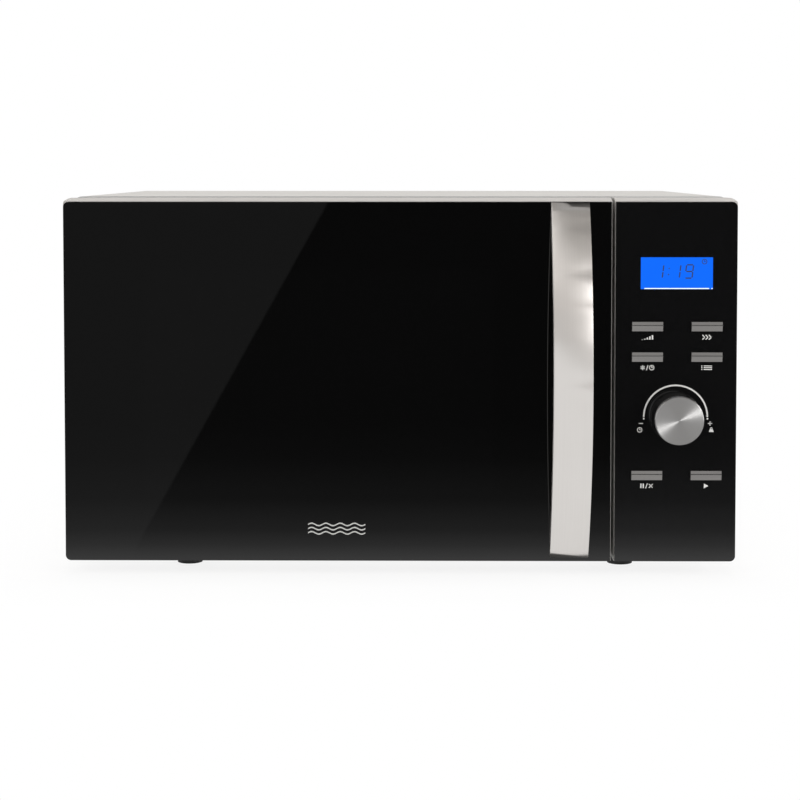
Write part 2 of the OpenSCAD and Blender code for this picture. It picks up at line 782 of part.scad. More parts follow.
module door_inner_window() {
    inset = choke_in + 0.3;
    color([0.2, 0.22, 0.24]) block([window_x0 + inset, window_x1 - inset], [choke_y, choke_y + 1.2],
        [window_z0 + inset, window_z1 - inset]);
}

module door_choke_cover() {
    color(dark) difference() {
        block([window_x0 + 0.3, window_x1 - 0.3], [choke_y, door_y1], [window_z0 + 0.3, window_z1 - 0.3]);
        block([window_x0 + choke_in, window_x1 - choke_in], [choke_y - 1, door_y1 + 1],
            [window_z0 + choke_in, window_z1 - choke_in]);
    }
}

module handle() {
    color(silver) difference() {
        intersection() {
            along_x(handle_x0, handle_x1) difference() {
                translate([handle_y, handle_cz]) circle(handle_r, $fn = 180);
                translate([handle_y, handle_cz]) circle(handle_r - handle_t, $fn = 180);
            }
            block([handle_x0, handle_x1], [glass_y0 - handle_bow - 1, glass_y0], [0, total_h]);
        }
        for (z = handle_screw_z)
            rod_y(handle_cx, glass_y0 - handle_bite, glass_y0 + 1, z, handle_screw_r + 0.05);
    }
}

module handle_screws() {
    color(steel) for (z = handle_screw_z) {
        rod_y(handle_cx, glass_y0 - handle_bite + 0.5, door_y1 - 8, z, handle_screw_r);
        rod_y(handle_cx, door_y1 - 8, door_y1 - 5, z, 4.2);
    }
}

// Sliding bar in the door with two hooks that reach into the cabinet
module latch_hooks() {
    color([0.85, 0.85, 0.82]) {
        block([latch_x - 4, latch_x + 4], [latch_y0, latch_y1 - 0.5], [latch_bar_z0, latch_bar_z1]);
        for (z = latch_hook_z) {
            block([latch_x - latch_half, latch_x + latch_half], [latch_y1 - 0.5, plate_y1 + 9.5],
                [z, z + latch_hook_h]);
            block([latch_x - latch_half, latch_x + latch_half], [plate_y1 + 4.5, plate_y1 + 9.5], [z - 4, z]);
        }
    }
}

// Points of one ring of the spring's wire at turn angle a
function wire_ring(a, z, sides) = [for (k = [0 : sides - 1])
    let (b = 360 * k / sides, r = spring_r + spring_wire_r * cos(b))
    [r * cos(a), r * sin(a), z + spring_wire_r * sin(b)]];

// Compression spring between the latch bar and the top of its pocket
module latch_spring() {
    sides = 8;
    per_turn = 16;
    rings = spring_turns * per_turn;
    rise = spring_z1 - latch_bar_z1 - 2 * spring_wire_r;
    points = [for (i = [0 : rings]) each
        wire_ring(360 * i / per_turn, spring_wire_r + rise * i / rings, sides)];
    walls = [for (i = [0 : rings - 1], k = [0 : sides - 1])
        let (n = (k + 1) % sides)
        [i * sides + k, (i + 1) * sides + k, (i + 1) * sides + n, i * sides + n]];
    ends = [[for (k = [0 : sides - 1]) k], [for (k = [sides - 1 : -1 : 0]) rings * sides + k]];
    color(steel) translate([latch_x, (latch_y0 + latch_y1) / 2, latch_bar_z1])
        polyhedron(points = points, faces = concat(walls, ends), convexity = 10);
}

// ---- Turntable ----

module turntable_plate() {
    color([0.8, 0.85, 0.85]) translate([table_x, table_y, plate_z0]) {
        rotate_extrude($fn = 120) polygon([[0, 0], [plate_r - 12, 0], [plate_r - 2, plate_rim_h - 4],
            [plate_r, plate_rim_h - 2], [plate_r - 1, plate_rim_h], [plate_r - 4, plate_rim_h - 1],
            [plate_r - 14, plate_t], [0, plate_t]]);
        difference() {
            translate([0, 0, -3]) cylinder(r = 16, h = 3);
            translate([0, 0, -4]) cylinder(r = 13, h = 4);
        }
    }
}

module drive_coupler() {
    color([0.9, 0.9, 0.88]) translate([table_x, table_y, 0]) {
        rod_z(0, 0, coupler_z0, cavity_z0 + 2, coupler_r);
        rod_z(0, 0, cavity_z0 + 2, plate_z0, 6);
        for (a = [0, 120, 240]) rotate([0, 0, a]) block([4, 12], [-2.5, 2.5], [cavity_z0 + 6, plate_z0]);
    }
}

// Plastic ring with three spokes that end in the roller pins
module roller_ring() {
    pin_x1 = roller_track_r + roller_t / 2 + 0.5;
    color([0.88, 0.88, 0.85]) translate([table_x, table_y, roller_z]) {
        rotate_extrude($fn = 96) translate([ring_r0, -ring_t / 2]) square([ring_r1 - ring_r0, ring_t]);
        for (k = [0 : 2]) rotate([0, 0, 90 + k * 120]) {
            rod_x(ring_r1 - 2, pin_x1, 0, 0, roller_pin_r);
            rod_x(pin_x1, pin_x1 + 1.6, 0, 0, 3.2);
            rod_x(ring_r1 - 2, roller_track_r - roller_t / 2 - 0.5, 0, 0, 3.2);
        }
    }
}

module roller(k) {
    color([0.9, 0.9, 0.88]) translate([table_x, table_y, roller_z]) rotate([0, 0, 90 + k * 120])
        difference() {
            rod_x(roller_track_r - roller_t / 2, roller_track_r + roller_t / 2, 0, 0, roller_r);
            rod_x(roller_track_r - roller_t, roller_track_r + roller_t, 0, 0, roller_pin_r + running_fit);
        }
}

module roller_1() { roller(0); }
module roller_2() { roller(1); }
module roller_3() { roller(2); }

base_plate();
outer_cover();
rear_panel();
front_plate();
cavity_liner();
feet();
rear_spacers();
case_screws();
cord_gland();
hinge_lower();
hinge_upper();
waveguide();
mica_cover();
magnetron_body();
magnetron_fins();
magnetron_antenna();
transformer_core();
transformer_coils();
hv_capacitor();
fan_shroud();
fan_motor();
fan_blades();
air_duct();
turntable_motor();
oven_lamp();
thermal_cutouts();
filter_board();
interlock_bracket();
interlock_switches();
control_frame();
control_fascia();
display_window();
display_module();
control_board();
tact_switches();
encoder();
knob();
knob_cap();
knob_shaft();
button_power();
button_express();
button_defrost();
button_menu();
button_cancel();
button_start();
door_frame();
door_glass();
door_panel();
door_inner_window();
door_choke_cover();
handle();
handle_screws();
latch_hooks();
latch_spring();
turntable_plate();
drive_coupler();
roller_ring();
roller_1();
roller_2();
roller_3();
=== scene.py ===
import json
import math

import bmesh
import bpy
from mathutils import Matrix, Vector


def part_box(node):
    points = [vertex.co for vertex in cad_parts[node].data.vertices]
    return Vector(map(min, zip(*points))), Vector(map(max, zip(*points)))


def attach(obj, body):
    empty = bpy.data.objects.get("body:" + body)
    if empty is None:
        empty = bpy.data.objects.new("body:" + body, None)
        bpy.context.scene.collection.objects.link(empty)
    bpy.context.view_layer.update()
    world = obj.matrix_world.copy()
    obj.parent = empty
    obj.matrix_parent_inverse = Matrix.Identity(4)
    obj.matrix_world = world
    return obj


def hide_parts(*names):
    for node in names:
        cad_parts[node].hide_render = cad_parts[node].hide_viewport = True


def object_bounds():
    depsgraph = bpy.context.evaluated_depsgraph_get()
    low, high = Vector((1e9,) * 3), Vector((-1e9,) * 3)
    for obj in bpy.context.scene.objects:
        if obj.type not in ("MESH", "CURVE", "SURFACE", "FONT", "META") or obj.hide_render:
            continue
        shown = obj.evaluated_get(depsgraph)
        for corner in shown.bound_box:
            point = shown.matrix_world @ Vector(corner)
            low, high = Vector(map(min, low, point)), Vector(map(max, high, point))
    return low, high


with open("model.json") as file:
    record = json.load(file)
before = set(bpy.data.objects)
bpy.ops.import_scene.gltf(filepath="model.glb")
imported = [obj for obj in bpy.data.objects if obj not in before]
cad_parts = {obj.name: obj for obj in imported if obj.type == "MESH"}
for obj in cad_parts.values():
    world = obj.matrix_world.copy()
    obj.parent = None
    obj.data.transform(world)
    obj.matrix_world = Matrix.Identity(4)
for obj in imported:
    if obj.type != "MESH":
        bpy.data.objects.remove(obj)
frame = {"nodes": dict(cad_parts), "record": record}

MM = 0.001
scene = bpy.context.scene
nodes = frame["nodes"]
cad_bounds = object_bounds()

# ---- Places read from the frame ----

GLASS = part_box("door_glass")
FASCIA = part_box("control_fascia")
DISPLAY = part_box("display_window")
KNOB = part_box("knob_cap")
FRONT_Y = FASCIA[0].y
KNOB_C = (KNOB[0] + KNOB[1]) / 2
BUTTON_NAMES = ("power", "express", "defrost", "menu", "cancel", "start")
BUTTONS = {name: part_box("button_" + name) for name in BUTTON_NAMES}


def middle(box):
    return (box[0] + box[1]) / 2


# ---- Camera ----

SENSOR = 36.0
FRAME_WIDTH = 0.6375       # width that the picture covers at the front of the oven
CAMERA_DISTANCE = 1.497    # from the front of the oven
CAMERA_X = 0.0144
CAMERA_Z = 0.3265
CENTRE_X = 0.0001          # point of the front plane in the middle of the picture
CENTRE_Z = 0.1406
SHIFT_Y = -0.18


def make_camera():
    data = bpy.data.cameras.new("camera")
    data.sensor_width = SENSOR
    data.lens = SENSOR * CAMERA_DISTANCE / FRAME_WIDTH
    data.shift_y = SHIFT_Y
    camera = bpy.data.objects.new("camera", data)
    scene.collection.objects.link(camera)
    camera.location = (CAMERA_X, FRONT_Y - CAMERA_DISTANCE, CAMERA_Z)
    drop = math.atan2(CAMERA_Z - CENTRE_Z, CAMERA_DISTANCE) + math.atan(SHIFT_Y * SENSOR / data.lens)
    turn = math.atan2(CAMERA_X - CENTRE_X, CAMERA_DISTANCE)
    camera.rotation_euler = (math.pi / 2 - drop, 0, turn)
    scene.camera = camera


# ---- Node helpers ----

def add_node(tree, kind, inputs=None, **settings):
    node = tree.nodes.new(kind)
    for key, value in settings.items():
        setattr(node, key, value)
    for key, value in (inputs or {}).items():
        if hasattr(value, "is_linked"):
            tree.links.new(value, node.inputs[key])
        else:
            node.inputs[key].default_value = value
    return node


def math_node(tree, operation, a, b=0.0, clamp=False):
    return add_node(tree, "ShaderNodeMath", {0: a, 1: b}, operation=operation, use_clamp=clamp).outputs[0]


def ramp_node(tree, fac, stops, smooth=False):
    """stops are (position, colour) pairs"""
    node = add_node(tree, "ShaderNodeValToRGB", {"Fac": fac})
    ramp = node.color_ramp
    ramp.interpolation = "EASE" if smooth else "LINEAR"
    while len(ramp.elements) < len(stops):
        ramp.elements.new(1.0)
    for element, (position, colour) in zip(ramp.elements, stops):
        element.position = position
        element.color = (*colour, 1.0)
    return node.outputs["Color"]


def mix_color(tree, share, first, second):
    """The first colour where share is 0 and the second where it is 1"""
    gap = add_node(tree, "ShaderNodeVectorMath", {0: second, 1: first}, operation="SUBTRACT").outputs[0]
    part = add_node(tree, "ShaderNodeVectorMath", {0: gap, "Scale": share}, operation="SCALE").outputs[0]
    return add_node(tree, "ShaderNodeVectorMath", {0: first, 1: part}, operation="ADD").outputs[0]


def object_point(tree, scale=(1, 1, 1)):
    point = add_node(tree, "ShaderNodeTexCoord").outputs["Object"]
    return add_node(tree, "ShaderNodeMapping", {"Vector": point, "Scale": scale}).outputs[0]


def noise(tree, scale, stretch=(1, 1, 1), detail=3.0):
    return add_node(tree, "ShaderNodeTexNoise", {"Vector": object_point(tree, stretch), "Scale": scale,
                                                 "Detail": detail}).outputs["Fac"]


def spread(tree, fac, low, high):
    """Turns a noise value into one from low to high"""
    return add_node(tree, "ShaderNodeMapRange", {"Value": fac, "From Min": 0.3, "From Max": 0.7,
                                                 "To Min": low, "To Max": high}).outputs[0]


def tint(tree, fac, low, high):
    return ramp_node(tree, fac, [(0.3, low), (0.7, high)])


def bump(tree, height, distance, strength=1.0, normal=None):
    inputs = {"Height": height, "Distance": distance, "Strength": strength}
    if normal is not None:
        inputs["Normal"] = normal
    return add_node(tree, "ShaderNodeBump", inputs).outputs[0]


def new_material(name, color, rough, metal=0.0, **sockets):
    """A material with one Principled shader: constant sockets are set directly"""
    material = bpy.data.materials.new(name)
    material.use_nodes = True
    tree = material.node_tree
    shader = tree.nodes["Principled BSDF"]
    shader.inputs["Base Color"].default_value = (*color, 1.0)
    shader.inputs["Roughness"].default_value = rough
    shader.inputs["Metallic"].default_value = metal
    for key, value in sockets.items():
        shader.inputs[key.replace("_", " ")].default_value = value
    return material, tree, shader


def feed(tree, shader, **links):
    for key, value in links.items():
        tree.links.new(value, shader.inputs[key.replace("_", " ")])


# ---- Materials ----

def shade(color, factor):
    return tuple(c * factor for c in color)


def painted_metal(name, color, rough=0.38):
    material, tree, shader = new_material(name, color, rough, Coat_Weight=0.15, Coat_Roughness=0.2)
    cloud = noise(tree, 9, detail=4)
    peel = noise(tree, 900, detail=1)
    feed(tree, shader, Base_Color=tint(tree, cloud, shade(color, 0.96), shade(color, 1.03)),
         Roughness=spread(tree, noise(tree, 40), rough - 0.05, rough + 0.06),
         Normal=bump(tree, peel, 0.04 * MM, 0.5))
    return material


def galvanised(name, color=(0.62, 0.62, 0.61)):
    material, tree, shader = new_material(name, color, 0.42, 0.85)
    spangle = add_node(tree, "ShaderNodeTexVoronoi", {"Vector": object_point(tree), "Scale": 170.0})
    grain = math_node(tree, "FRACT", math_node(tree, "MULTIPLY", spangle.outputs["Color"], 3.0))
    feed(tree, shader, Base_Color=tint(tree, grain, shade(color, 0.94), shade(color, 1.04)),
         Roughness=spread(tree, grain, 0.38, 0.46), Normal=bump(tree, noise(tree, 500), 0.03 * MM, 0.4))
    return material


def enamel(name, color):
    material, tree, shader = new_material(name, color, 0.3)
    speck = add_node(tree, "ShaderNodeTexVoronoi", {"Vector": object_point(tree), "Scale": 420.0})
    dots = ramp_node(tree, speck.outputs["Distance"], [(0.1, shade(color, 0.8)), (0.22, color)])
    feed(tree, shader, Base_Color=dots, Roughness=spread(tree, noise(tree, 60), 0.24, 0.36),
         Normal=bump(tree, noise(tree, 700, detail=1), 0.03 * MM, 0.5))
    return material


def gloss_black(name, color=(0.004, 0.004, 0.0042), rough=0.06):
    material, tree, shader = new_material(name, color, rough)
    dust = noise(tree, 260, detail=6)
    feed(tree, shader, Base_Color=tint(tree, dust, shade(color, 0.8), shade(color, 1.25)),
         Roughness=spread(tree, noise(tree, 14), rough * 0.7, rough * 1.4))
    return material


def door_black(name, window):
    """Black door glass whose window area carries a fine printed dot screen"""
    edge = (0.0006, 0.0006, 0.0006)
    dot = (0.0016, 0.0016, 0.0017)
    material, tree, shader = new_material(name, edge, 0.0, Coat_Roughness=0.0)
    point = add_node(tree, "ShaderNodeSeparateXYZ",
                     {0: add_node(tree, "ShaderNodeTexCoord").outputs["Object"]}).outputs
    pitch = 1.6 * MM
    cell = [math_node(tree, "PINGPONG", point[axis], pitch / 2) for axis in (0, 2)]
    reach = math_node(tree, "SQRT", math_node(tree, "ADD", math_node(tree, "POWER", cell[0], 2.0),
                                              math_node(tree, "POWER", cell[1], 2.0)))
    inside = None
    for axis, low, high in ((0, window[0].x, window[1].x), (2, window[0].z, window[1].z)):
        for part in (math_node(tree, "GREATER_THAN", point[axis], low),
                     math_node(tree, "LESS_THAN", point[axis], high)):
            inside = part if inside is None else math_node(tree, "MULTIPLY", inside, part)
    dots = math_node(tree, "MULTIPLY", math_node(tree, "LESS_THAN", reach, pitch * 0.3), inside)
    feed(tree, shader, Base_Color=ramp_node(tree, dots, [(0.0, edge), (1.0, dot)]),
         Coat_Weight=spread(tree, noise(tree, 8), 0.0, 0.02))
    return material


def brushed(name, color, rough, stretch, metal=1.0, across=None, depth=0.006, contrast=0.05):
    """Metal with fine lines along the axis whose stretch is small. Light spreads along the axis across"""
    material, tree, shader = new_material(name, color, rough, metal)
    lines = noise(tree, 1.0, stretch, detail=4)
    patch = noise(tree, 30, detail=2)
    feed(tree, shader, Base_Color=tint(tree, lines, shade(color, 1 - contrast), shade(color, 1 + contrast)),
         Roughness=spread(tree, patch, rough - 0.03, rough + 0.03),
         Normal=bump(tree, lines, depth * MM, 0.5))
    if across is not None:
        shader.inputs["Anisotropic"].default_value = 0.85
        feed(tree, shader, Tangent=add_node(tree, "ShaderNodeCombineXYZ", dict(enumerate(across))).outputs[0])
    return material


def spun(name, color, centre):
    """Lathe-turned metal: fine rings about an axis along Y. Light spreads across them, along the radius"""
    material, tree, shader = new_material(name, color, 0.3, 1.0, Anisotropic=0.9,
                                          Anisotropic_Rotation=0.25)
    point = add_node(tree, "ShaderNodeVectorMath",
                     {0: add_node(tree, "ShaderNodeTexCoord").outputs["Object"],
                      1: (centre.x, centre.y, centre.z)}, operation="SUBTRACT")
    part = add_node(tree, "ShaderNodeSeparateXYZ", {0: point.outputs[0]}).outputs
    radius = math_node(tree, "SQRT", math_node(tree, "ADD", math_node(tree, "POWER", part[0], 2.0),
                                               math_node(tree, "POWER", part[2], 2.0)))
    rings = math_node(tree, "SINE", math_node(tree, "MULTIPLY", radius, 2 * math.pi / (0.28 * MM)))
    rough_rings = add_node(tree, "ShaderNodeTexNoise", {"Vector": add_node(
        tree, "ShaderNodeCombineXYZ", {0: radius}).outputs[0], "Scale": 2600.0, "Detail": 2.0}).outputs["Fac"]
    feed(tree, shader, Base_Color=tint(tree, rough_rings, shade(color, 0.88), shade(color, 1.08)),
         Tangent=add_node(tree, "ShaderNodeTangent", direction_type="RADIAL", axis="Y").outputs[0],
         Normal=bump(tree, rings, 0.003 * MM, 0.5))
    return material


def moulded(name, color, rough=0.5, grain=600):
    material, tree, shader = new_material(name, color, rough)
    feed(tree, shader, Base_Color=tint(tree, noise(tree, 35), shade(color, 0.92), shade(color, 1.06)),
         Roughness=spread(tree, noise(tree, 90), rough - 0.06, rough + 0.06),
         Normal=bump(tree, noise(tree, grain, detail=2), 0.05 * MM, 0.5))
    return material


def satin(name, color, rough=0.42):
    """Smooth silver-grey plastic"""
    material, tree, shader = new_material(name, color, rough)
    feed(tree, shader, Base_Color=tint(tree, noise(tree, 30), shade(color, 0.97), shade(color, 1.03)),
         Roughness=spread(tree, noise(tree, 70), rough - 0.04, rough + 0.04),
         Normal=bump(tree, noise(tree, 800, detail=1), 0.01 * MM, 0.4))
    return material


def screen_steel(name, color, field):
    """Painted steel sheet with a field of small round holes, drawn as near-black dots of painted shade with a
    dented bump
    """
    material, tree, shader = new_material(name, color, 0.35, 0.0)
    point = add_node(tree, "ShaderNodeSeparateXYZ",
                     {0: add_node(tree, "ShaderNodeTexCoord").outputs["Object"]}).outputs
    pitch = 2.2 * MM
    cell = [math_node(tree, "PINGPONG", point[axis], pitch / 2) for axis in (0, 2)]
    reach = math_node(tree, "SQRT", math_node(tree, "ADD", math_node(tree, "POWER", cell[0], 2.0),
                                              math_node(tree, "POWER", cell[1], 2.0)))
    inside = None
    for axis, low, high in ((0, field[0].x, field[1].x), (2, field[0].z, field[1].z)):
        for part in (math_node(tree, "GREATER_THAN", point[axis], low),
                     math_node(tree, "LESS_THAN", point[axis], high)):
            inside = part if inside is None else math_node(tree, "MULTIPLY", inside, part)
    # painted shade: near-black dots where the holes show only darkness through the sheet
    shaded_hole_mask = math_node(tree, "MULTIPLY", math_node(tree, "LESS_THAN", reach, pitch * 0.33), inside)
    feed(tree, shader, Base_Color=ramp_node(tree, shaded_hole_mask, [(0.0, color), (1.0, (0.004, 0.004, 0.004))]),
         Roughness=spread(tree, noise(tree, 60), 0.3, 0.4), Normal=bump(tree, shaded_hole_mask, -0.3 * MM, 0.6))
    return material


def clear_glass(name, color, rough=0.03, weight=0.9):
    material, tree, shader = new_material(name, color, rough, Transmission_Weight=weight, IOR=1.48)
    feed(tree, shader, Roughness=spread(tree, noise(tree, 25), rough * 0.6, rough * 1.6),
         Normal=bump(tree, noise(tree, 90, detail=1), 0.05 * MM, 0.3))
    return material


def lit_blue(name):
    color = (0.0, 0.146, 1.0)
    material, tree, shader = new_material(name, (0.0, 0.004, 0.02), 0.2, Emission_Strength=1.0,
                                          Specular_IOR_Level=0.1)
    feed(tree, shader, Emission_Color=tint(tree, noise(tree, 60), shade(color, 0.97), shade(color, 1.0)))
    return material


def glow(name, color, strength):
    material, tree, shader = new_material(name, shade(color, 0.3), 0.4, Emission_Strength=strength)
    feed(tree, shader, Emission_Color=tint(tree, noise(tree, 200), shade(color, 0.95), color))
    return material


def printed(name, color):
    material, tree, shader = new_material(name, color, 0.45)
    feed(tree, shader, Base_Color=tint(tree, noise(tree, 1200), shade(color, 0.92), color))
    return material


def laminated(name):
    color = (0.13, 0.13, 0.135)
    material, tree, shader = new_material(name, color, 0.5, 0.7)
    layers = noise(tree, 1.0, (20, 2200, 20), detail=1)
    feed(tree, shader, Base_Color=tint(tree, layers, shade(color, 0.6), shade(color, 1.3)),
         Normal=bump(tree, layers, 0.08 * MM, 0.6))
    return material


def wound_copper(name):
    color = (0.55, 0.2, 0.07)
    material, tree, shader = new_material(name, color, 0.35, 0.9)
    turns = noise(tree, 1.0, (60, 1500, 1500), detail=1)
    feed(tree, shader, Base_Color=tint(tree, turns, shade(color, 0.55), shade(color, 1.2)),
         Normal=bump(tree, turns, 0.2 * MM, 0.8))
    return material


WINDOW = (Vector((-0.205, 0, 0.065)), Vector((0.075, 0, 0.245)))
MATERIALS = {
    "cabinet_paint": painted_metal("cabinet_paint", (0.62, 0.61, 0.585)),
    "galvanised_sheet": galvanised("galvanised_sheet"),
    "cavity_enamel": enamel("cavity_enamel", (0.5, 0.51, 0.51)),
    "black_gloss_plastic": gloss_black("black_gloss_plastic"),
    "black_glass": door_black("black_glass", WINDOW),
    "window_glass": clear_glass("window_glass", (0.75, 0.8, 0.8)),
    "plate_glass": clear_glass("plate_glass", (0.93, 0.97, 0.97)),
    "choke_plastic": moulded("choke_plastic", (0.035, 0.035, 0.037), 0.4),
    "handle_metal": brushed("handle_metal", (0.69, 0.665, 0.64), 0.32, (2600, 40, 6), across=(1, 0, 0),
                            depth=0.002, contrast=0.02),
    "button_metal": brushed("button_metal", (0.23, 0.222, 0.215), 0.26, (25, 1500, 1500), across=(0, 0, 1)),
    "knob_metal": spun("knob_metal", (0.27, 0.266, 0.262), KNOB_C),
    "frame_silver": satin("frame_silver", (0.56, 0.545, 0.525)),
    "bright_steel": brushed("bright_steel", (0.6, 0.6, 0.59), 0.25, (900, 900, 60)),
    "foot_rubber": moulded("foot_rubber", (0.012, 0.012, 0.012), 0.75, 900),
    "black_plastic": moulded("black_plastic", (0.02, 0.02, 0.02), 0.5),
    "display_blue": lit_blue("display_blue"),
    "white_plastic": moulded("white_plastic", (0.7, 0.7, 0.67), 0.45),
    "board": moulded("board", (0.03, 0.16, 0.07), 0.4, 300),
    "copper_winding": wound_copper("copper_winding"),
    "core_steel": laminated("core_steel"),
    "mica": moulded("mica", (0.42, 0.36, 0.25), 0.6, 250),
    "red_plastic": moulded("red_plastic", (0.4, 0.03, 0.02), 0.45),
    "lamp_glass": moulded("lamp_glass", (0.75, 0.72, 0.62), 0.35),
}
# the door screen's hole dots are painted shade
SCREEN = screen_steel("door_screen", (0.07, 0.07, 0.072), WINDOW)
FASCIA_BLACK = gloss_black("fascia_black", (0.0032, 0.0032, 0.0034), 0.0)
PRINT_WHITE = printed("print_white", (0.82, 0.82, 0.8))
PRINT_SILVER = brushed("print_silver", (0.62, 0.62, 0.6), 0.4, (400, 400, 400), metal=0.6)
LCD_INK = printed("lcd_ink", (0.008, 0.03, 0.12))
# painted shade: the dark line at each button's fold, drawn with the print shader
BUTTON_FOLD_SHADE = printed("button_fold_shade", (0.03, 0.03, 0.03))
LIGHT_BAR = glow("light_bar", (0.85, 0.95, 1.0), 1.1)


def paint_nodes():
    """Every CAD node takes the material of its record slot"""
    for part in frame["record"]["subparts"]:
        data = nodes[part["node"]].data
        data.materials.clear()
        data.materials.append(MATERIALS[part["material_slot"]])
    for name, material in (("door_panel", SCREEN), ("control_fascia", FASCIA_BLACK)):
        nodes[name].data.materials[0] = material


def soften(name, width_mm, segments=2):
    """Rounds a CAD node's sharp edges with modifiers only"""
    piece = nodes[name]
    weld = piece.modifiers.new("weld", "WELD")
    weld.merge_threshold = 0.002 * MM
    bevel = piece.modifiers.new("bevel", "BEVEL")
    bevel.width = width_mm * MM
    bevel.segments = segments
    bevel.limit_method = "ANGLE"
    bevel.angle_limit = math.radians(32)
    bevel.harden_normals = True
    bevel.use_clamp_overlap = True


SOFT_EDGES = {
    "door_glass": 0.3, "control_fascia": 0.3, "door_frame": 0.4, "control_frame": 0.4, "handle": 0.7,
    "outer_cover": 0.3, "rear_panel": 0.2, "front_plate": 0.25, "feet": 0.5, "rear_spacers": 0.8,
    "cord_gland": 0.5, "door_choke_cover": 0.8, "knob": 0.25, "knob_cap": 0.2,
    "turntable_plate": 0.6, "roller_ring": 0.4, **{"button_" + name: 0.45 for name in BUTTONS},
    "drive_coupler": 0.4, "hinge_lower": 0.3, "hinge_upper": 0.3, "latch_hooks": 0.4,
}


# ---- Mesh helpers ----

def link_piece(name, mesh, material, body):
    piece = bpy.data.objects.new(name, mesh)
    scene.collection.objects.link(piece)
    piece.data.materials.append(material)
    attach(piece, body)
    return piece


def flat_piece(name, outlines, y, thickness, material, body):
    """Thin raised marks on a face that looks along -Y. outlines are lists of (x, z) points, in metres"""
    form = bmesh.new()
    for outline in outlines:
        ring = [form.verts.new((x, y, z)) for x, z in outline]
        face = form.faces.new(ring)
        face.normal_update()
        lifted = bmesh.ops.extrude_face_region(form, geom=[face])["geom"]
        for vert in (v for v in lifted if isinstance(v, bmesh.types.BMVert)):
            vert.co.y -= thickness
    bmesh.ops.recalc_face_normals(form, faces=form.faces)
    mesh = bpy.data.meshes.new(name)
    form.to_mesh(mesh)
    form.free()
    return link_piece(name, mesh, material, body)


def bar(x0, z0, x1, z1, width):
    """Straight stroke between two points"""
    run = Vector((x1 - x0, z1 - z0))
    side = Vector((-run.y, run.x)).normalized() * width / 2
    return [(x0 + side.x, z0 + side.y), (x1 + side.x, z1 + side.y),
            (x1 - side.x, z1 - side.y), (x0 - side.x, z0 - side.y)]


def arc(cx, cz, radius, width, start, end, steps):
    """Curved stroke as one outline, angles in degrees"""
    angles = [math.radians(start + (end - start) * k / steps) for k in range(steps + 1)]
    far = radius + width / 2
    near = radius - width / 2
    outer = [(cx + far * math.cos(a), cz + far * math.sin(a)) for a in angles]
    inner = [(cx + near * math.cos(a), cz + near * math.sin(a)) for a in angles]
    return outer + inner[::-1]


def circle_band(cx, cz, radius, width):
    return [arc(cx, cz, radius, width, 0, 180, 16), arc(cx, cz, radius, width, 180, 360, 16)]


def disc(cx, cz, radius, steps=16):
    return [(cx + radius * math.cos(2 * math.pi * k / steps), cz + radius * math.sin(2 * math.pi * k / steps))
            for k in range(steps)]


# ---- Printed marks on the control panel ----

ICON = 1.35 * MM      # size unit of the small symbols
MARK = 0.42 * ICON    # their stroke width


def power_icon(x, z):
    return [bar(x + k * 1.5 * ICON, z - 1.4 * ICON,
                x + k * 1.5 * ICON, z + (0.7 * k - 0.2) * ICON, 0.85 * ICON)
            for k in range(-2, 3)]


def express_icon(x, z):
    marks = []
    for k in (-1, 0, 1):
        cx = x + k * 1.9 * ICON
        marks.append(bar(cx - 0.7 * ICON, z + 1.4 * ICON, cx + 0.7 * ICON, z, 0.55 * ICON))
        marks.append(bar(cx + 0.7 * ICON, z, cx - 0.7 * ICON, z - 1.4 * ICON, 0.55 * ICON))
    return marks


def flake_icon(x, z):
    return [bar(x - 1.5 * ICON * math.cos(a), z - 1.5 * ICON * math.sin(a),
                x + 1.5 * ICON * math.cos(a), z + 1.5 * ICON * math.sin(a), MARK)
            for a in (math.radians(30 + 60 * k) for k in range(3))]


def clock_icon(x, z, radius=1.35 * ICON):
    return circle_band(x, z, radius, MARK) + [bar(x, z, x, z + 0.65 * radius, MARK),
                                              bar(x, z, x + 0.5 * radius, z, MARK)]


def slash(x, z):
    return [bar(x - 0.5 * ICON, z - 1.5 * ICON, x + 0.5 * ICON, z + 1.5 * ICON, MARK)]


def menu_icon(x, z):
    marks = []
    for k in (-1, 0, 1):
        row = z + k * 1.05 * ICON
        marks.append(disc(x - 2.8 * ICON, row, 0.36 * ICON, 10))
        marks.append(bar(x - 1.7 * ICON, row, x + 3.2 * ICON, row, 0.48 * ICON))
    return marks


def pause_icon(x, z):
    return [bar(x + s * 0.7 * ICON, z - 1.35 * ICON, x + s * 0.7 * ICON, z + 1.35 * ICON, 0.7 * ICON)
            for s in (-1, 1)]


def cross_icon(x, z):
    return [bar(x - 1.15 * ICON, z - s * 1.15 * ICON, x + 1.15 * ICON, z + s * 1.15 * ICON, 0.5 * ICON)
            for s in (-1, 1)]


def start_icon(x, z):
    return [[(x - 1.1 * ICON, z - 1.4 * ICON), (x + 1.6 * ICON, z), (x - 1.1 * ICON, z + 1.4 * ICON)]]


def weight_icon(x, z):
    body = [(x - 1.4 * ICON, z - 1.2 * ICON), (x + 1.4 * ICON, z - 1.2 * ICON),
            (x + 0.9 * ICON, z + 0.5 * ICON),
            (x - 0.9 * ICON, z + 0.5 * ICON)]
    return [body] + [arc(x, z + 0.85 * ICON, 0.5 * ICON, MARK, -30, 210, 12)]


def button_symbols():
    drop = 8.6 * MM        # from a button's middle down to its symbol
    icons = {"power": [(power_icon, 0)], "express": [(express_icon, 0)],
             "defrost": [(flake_icon, -3.6), (slash, 0), (clock_icon, 3.6)], "menu": [(menu_icon, 0)],
             "cancel": [(pause_icon, -3.5), (slash, 0), (cross_icon, 3.5)], "start": [(start_icon, 0)]}
    marks = []
    for name, parts in icons.items():
        centre = middle(BUTTONS[name])
        for draw, offset in parts:
            marks += draw(centre.x + offset * MM, centre.z - drop)
    return marks


